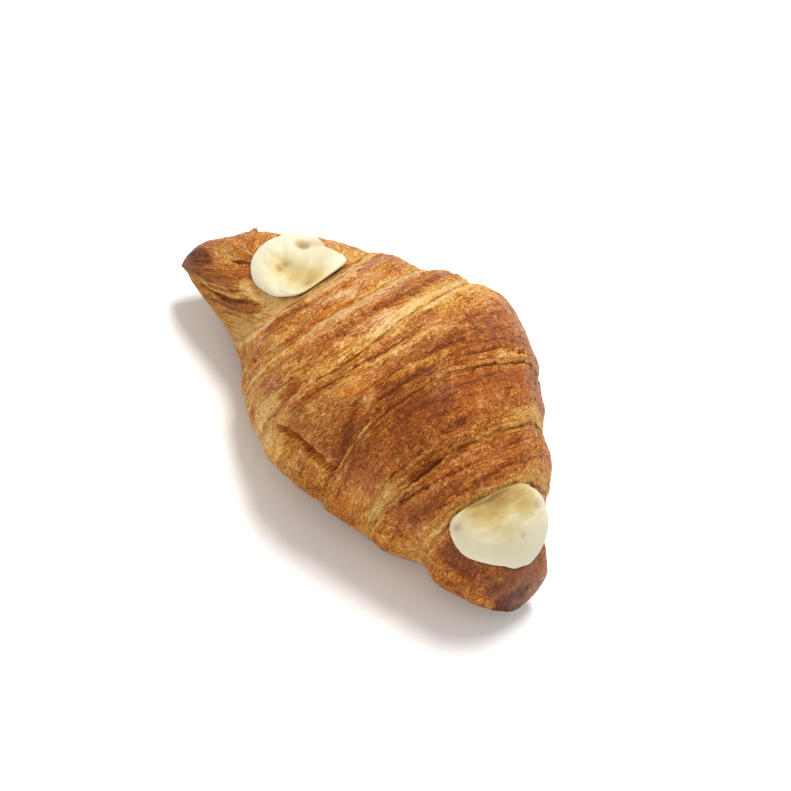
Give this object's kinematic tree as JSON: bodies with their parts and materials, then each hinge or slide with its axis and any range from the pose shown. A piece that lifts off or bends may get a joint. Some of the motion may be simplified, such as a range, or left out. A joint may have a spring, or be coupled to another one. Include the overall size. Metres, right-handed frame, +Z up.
{
  "type": "croissant",
  "caption": "Filled butter croissant: plump rolled crescent with stepped flaky wraps, blunt browned tips and pale custard cream piped into each end.",
  "frame": {"origin": "middle of the bounding box seen from above, at the level of the flat base", "axes": "+X along the roll toward the near tip, +Y toward the outer side of the crescent, +Z up"},
  "size_m": [0.1518, 0.0918, 0.0646],
  "materials": {
    "crust": "baked laminated pastry crust, egg-washed satin on the crests and dry and flaky on the wrap edges",
    "cream": "smooth soft custard cream with a low satin sheen"
  },
  "bodies": {
    "root": {"pastry": "crust", "cream_far": "cream", "cream_near": "cream"}
  },
  "joints": []
}
